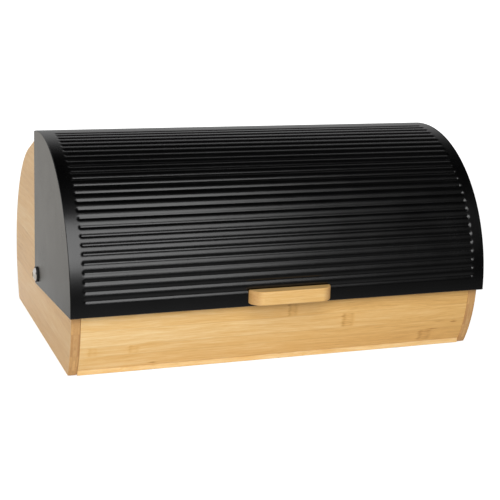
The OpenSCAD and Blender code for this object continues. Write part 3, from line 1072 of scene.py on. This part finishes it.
class BREADBOX_OT_stage(bpy.types.Operator):
    """Pale floor, soft lights, white surroundings and the camera"""

    bl_idname = "bread_box.stage"
    bl_label = "Stage"

    def execute(self, context):
        begin()
        bpy.ops.mesh.primitive_plane_add(size=90, location=(0, 0, 0))
        floor = named("stage_floor")
        bpy.ops.object.mode_set(mode="OBJECT")
        floor.data.materials.append(floor_finish(context.scene.bread_box_colours.floor))
        surroundings(context.scene)
        lamp("front", (-0.2, -1.75, 1.3), (0, -0.1, 0.1), (1.9, 1.5), 33)
        fills = (("low left", (-1.25, -0.85, 0.3), 5), ("rear left", (-1.2, 0.95, 0.4), 4.5))
        for name, place, power in fills:
            fill = lamp(name, place, (0, 0, 0.1), (0.6, 0.6), power)
            fill.visible_glossy = False
        sheen = lamp("left", (-1.5, -0.1, 1.45), (0, 0, 0.1), (0.9, 0.9), 6)
        sheen.visible_diffuse = False
        camera(context.scene)
        context.scene.view_settings.view_transform = "Standard"
        return {"FINISHED"}


def floor_finish(tone):
    """White to the camera, darkened by the box's shadow, and in gloss dark in front, warm at left."""
    nodes, material = finish_named("stage_floor")
    material.cycles.emission_sampling = "NONE"
    seen = nodes.add("ShaderNodeLightPath", {}, out="Is Camera Ray")
    clear = nodes.add("ShaderNodeLightPath", {}, out="Is Transmission Ray")
    gloss = nodes.add("ShaderNodeLightPath", {}, out="Is Glossy Ray")
    matt = nodes.add("ShaderNodeBsdfDiffuse", {}, Color=rgba(tone))
    point = nodes.vector(*nodes.place())
    away = nodes.add("ShaderNodeVectorMath", {"operation": "LENGTH"}, point, out=1)
    glow = seen.most(clear) * (0.72 + away.step(0.4, 1.6) * 0.4)
    glow = nodes.add("ShaderNodeEmission", {}, Strength=glow)
    both = nodes.add("ShaderNodeAddShader", {}, matt, glow)
    x, y, _ = nodes.place()
    near = x.step(-0.25, -0.215)
    behind = y.step(-0.8, 0.5) * 0.6 + y.step(0.0, 0.2) * near * 0.25 + 0.06
    beside = 1 - x.step(-0.1, 0.4) * 0.5
    tint = nodes.mix(near, (1.0, 0.965, 0.9), (1.0, 1.0, 1.0))
    mirrored = nodes.add("ShaderNodeEmission", {}, Color=tint, Strength=behind * beside)
    closing = nodes.add("ShaderNodeMixShader", {}, gloss, both, mirrored)
    nodes.add("ShaderNodeOutputMaterial", {}, closing)
    return material


def surroundings(scene):
    """White to the camera, a plain soft light, and in gloss a wall behind and a low glow in front."""
    scene.world = bpy.data.worlds.new("white room")
    scene.world.cycles.sampling_method = "NONE"
    nodes = Nodes(scene.world)
    seen = nodes.add("ShaderNodeLightPath", {}, out="Is Camera Ray")
    clear = nodes.add("ShaderNodeLightPath", {}, out="Is Transmission Ray")
    gloss = nodes.add("ShaderNodeLightPath", {}, out="Is Glossy Ray")
    x, y, z = nodes.split(nodes.add("ShaderNodeTexCoord", {}, out="Generated"))
    wall = y.step(-0.15, 0.3) * (1 - z.step(0.45, 0.85))
    wall = wall * (0.6 - x.step(0.3, 0.5) * 0.16 - y.step(0.82, 0.97) * 0.15)
    low_glow = (1 - y.step(-0.8, -0.5)) * (1 - x.step(0.05, 0.35)) * z.step(-0.04, 0.3) * 1.3
    low_glow = low_glow * (1 - z.step(0.35, 0.6)) * x.step(-0.3, -0.05)
    sky = 0.5 - z.step(0.0, 0.7) * 0.42
    strength = (1 - gloss) * sky + gloss * (wall + low_glow + 0.008)
    seen = seen.most(clear)
    strength = strength * (1 - seen) + seen
    light = nodes.add("ShaderNodeBackground", {}, Color=(1, 1, 1, 1), Strength=strength)
    nodes.add("ShaderNodeOutputWorld", {}, light)


def lamp(name, place, target, size, power):
    """A rectangular soft lamp that points at a target."""
    data = bpy.data.lights.new(name, "AREA")
    data.shape = "RECTANGLE"
    data.size, data.size_y = size
    data.energy = power
    light = bpy.data.objects.new(name, data)
    way = Vector(target) - Vector(place)
    light.matrix_world = (
        Matrix.Translation(place) @ way.to_track_quat("-Z", "Y").to_matrix().to_4x4()
    )
    light.visible_camera = False
    bpy.context.scene.collection.objects.link(light)
    return light


def camera(scene):
    """Seen from the front, a little from the left and above."""
    reach = math.cos(PITCH)
    ahead = Vector((math.sin(YAW) * reach, math.cos(YAW) * reach, -math.sin(PITCH)))
    level = Vector((math.cos(YAW), -math.sin(YAW), 0))
    above = level.cross(ahead)
    across = math.cos(ROLL) * level + math.sin(ROLL) * above
    upright = math.cos(ROLL) * above - math.sin(ROLL) * level
    data = bpy.data.cameras.new("view")
    data.lens = FOCAL_SHARE * SENSOR
    data.sensor_width = SENSOR
    data.clip_end = 100
    view = bpy.data.objects.new("view", data)
    turn = Matrix((across, upright, -ahead)).transposed().to_4x4()
    view.matrix_world = Matrix.Translation(EYE) @ turn
    scene.collection.objects.link(view)
    scene.camera = view


class BREADBOX_PT_panel(bpy.types.Panel):
    """Pieces and sizes of the bread box"""

    bl_label = "Bread Box"
    bl_idname = "BREADBOX_PT_panel"
    bl_space_type = "VIEW_3D"
    bl_region_type = "UI"
    bl_category = "Bread Box"

    def draw(self, context):
        column = self.layout.column(align=True)
        for operator in OPERATORS:
            column.operator(operator.bl_idname)
        for group in (context.scene.bread_box_sizes, context.scene.bread_box_colours):
            column = self.layout.column()
            for name in group.__annotations__:
                column.prop(group, name)


OPERATORS = (
    BREADBOX_OT_side_panels,
    BREADBOX_OT_boards,
    BREADBOX_OT_lid_cover,
    BREADBOX_OT_cheeks,
    BREADBOX_OT_handle,
    BREADBOX_OT_pads,
    BREADBOX_OT_fittings,
    BREADBOX_OT_stage,
)
CLASSES = (BreadBoxSizes, BreadBoxColours, *OPERATORS, BREADBOX_PT_panel)


def register():
    for kind in CLASSES:
        bpy.utils.register_class(kind)
    bpy.types.Scene.bread_box_sizes = PointerProperty(type=BreadBoxSizes)
    bpy.types.Scene.bread_box_colours = PointerProperty(type=BreadBoxColours)
    bpy.types.Scene.bread_box_finishes = {}


def unregister():
    for kind in reversed(CLASSES):
        bpy.utils.unregister_class(kind)
    del bpy.types.Scene.bread_box_sizes
    del bpy.types.Scene.bread_box_colours
    del bpy.types.Scene.bread_box_finishes


def main():
    register()
    for operator in OPERATORS:
        group, name = operator.bl_idname.split(".")
        getattr(getattr(bpy.ops, group), name)()


if __name__ == "__main__":
    main()
